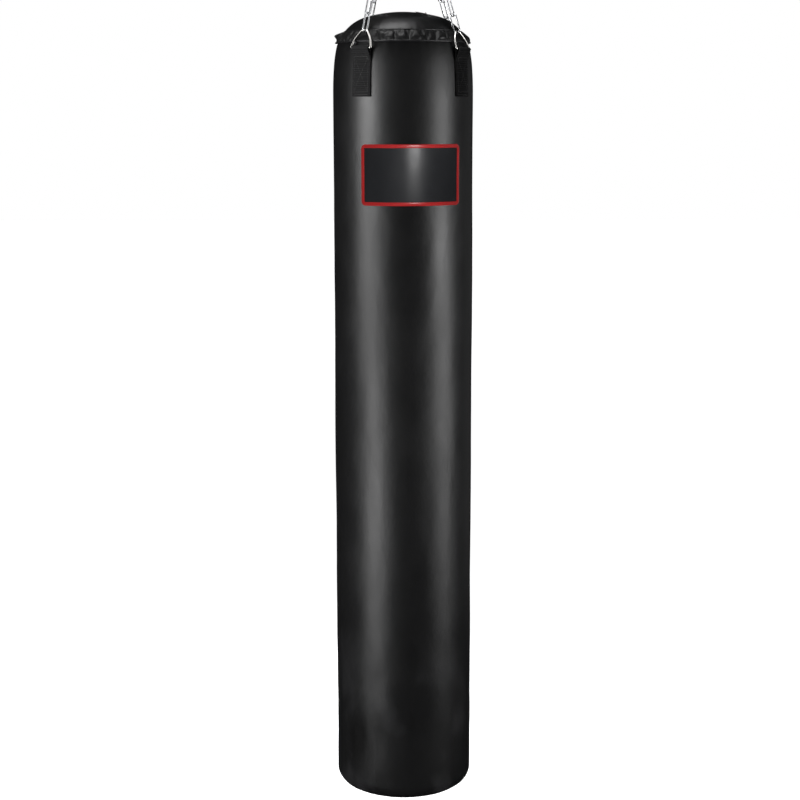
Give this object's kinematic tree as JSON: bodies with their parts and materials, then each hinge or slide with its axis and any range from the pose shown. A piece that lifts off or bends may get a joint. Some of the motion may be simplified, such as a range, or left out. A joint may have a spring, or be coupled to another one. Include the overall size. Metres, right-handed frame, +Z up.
{
  "type": "hanging heavy bag",
  "caption": "Tall black stuffed punching bag with a domed, gathered top, webbing straps and D-rings, hung by steel chains from a swivel eye.",
  "frame": {"origin": "centre of the swivel eye's bore, where the bag hangs on its hook or shackle", "axes": "+Z up along the bag's axis, +Y along the eye's bore from the labelled front to the back, +X to the right of the labelled front"},
  "size_m": [0.34, 0.3426, 2.4502],
  "materials": {
    "vinyl": "satin embossed vinyl",
    "foam": "open-cell foam",
    "textile": "packed shredded cloth",
    "label_face": "gloss",
    "label_edge": "satin",
    "webbing": "ribbed woven webbing",
    "zip_tape": "woven",
    "zip_teeth": "moulded",
    "zip_metal": "bright nickel",
    "ring_steel": "bright nickel plated",
    "chain_steel": "bright zinc plated",
    "swivel_steel": "forged and plated",
    "washer": "plain"
  },
  "bodies": {
    "hanger": {"swivel_eye": "swivel_steel", "stem_nut": "swivel_steel"},
    "swivel": {"swivel_jaw": "swivel_steel", "upper_washer": "washer", "lower_washer": "washer", "jaw_pin": "swivel_steel", "jaw_pin_nut": "swivel_steel"},
    "master_link": {"master_link": "ring_steel"},
    "bag": {"outer_shell": "vinyl", "bottom_panel": "vinyl", "top_cover": "vinyl", "rim_hem": "vinyl", "foam_liner": "foam", "bottom_pad": "foam", "top_pad": "foam", "textile_fill": "textile", "label_patch": "label_face", "label_edging": "label_edge", "zip_tape_front": "zip_tape", "zip_tape_back": "zip_tape", "zip_teeth": "zip_teeth", "zip_stops": "zip_metal", "strap_front_left": "webbing", "strap_front_right": "webbing", "strap_back_right": "webbing", "strap_back_left": "webbing", "d_ring_front_left": "ring_steel", "d_ring_front_right": "ring_steel", "d_ring_back_right": "ring_steel", "d_ring_back_left": "ring_steel", "chain_front_left": "chain_steel", "chain_front_right": "chain_steel", "chain_back_right": "chain_steel", "chain_back_left": "chain_steel"},
    "zip_slider": {"zip_slider": "zip_metal"},
    "zip_pull": {"zip_pull": "zip_metal"}
  },
  "joints": [
    {"name": "swivel_spin", "type": "hinge", "parent": "hanger", "child": "swivel", "pos_m": [0, 0, -0.0342], "axis": [0, 0, 1], "continuous": true},
    {"name": "swing_side", "type": "hinge", "parent": "swivel", "child": "master_link", "pos_m": [0, 0, -0.0689], "axis": [0, 1, 0], "range_deg": [-40, 40]},
    {"name": "swing_fore_aft", "type": "hinge", "parent": "master_link", "child": "bag", "pos_m": [0, 0, -0.1239], "axis": [1, 0, 0], "range_deg": [-40, 40]},
    {"name": "zip_slide", "type": "hinge", "parent": "bag", "child": "zip_slider", "pos_m": [0, 0, -0.79937], "axis": [0, 1, 0], "range_deg": [-19.17, 0]},
    {"name": "zip_pull_flip", "type": "hinge", "parent": "zip_slider", "child": "zip_pull", "pos_m": [0.05557, 0.04593, -0.47038], "axis": [-0.0227, 0.9907, -0.1345], "range_deg": [0, 150]}
  ]
}
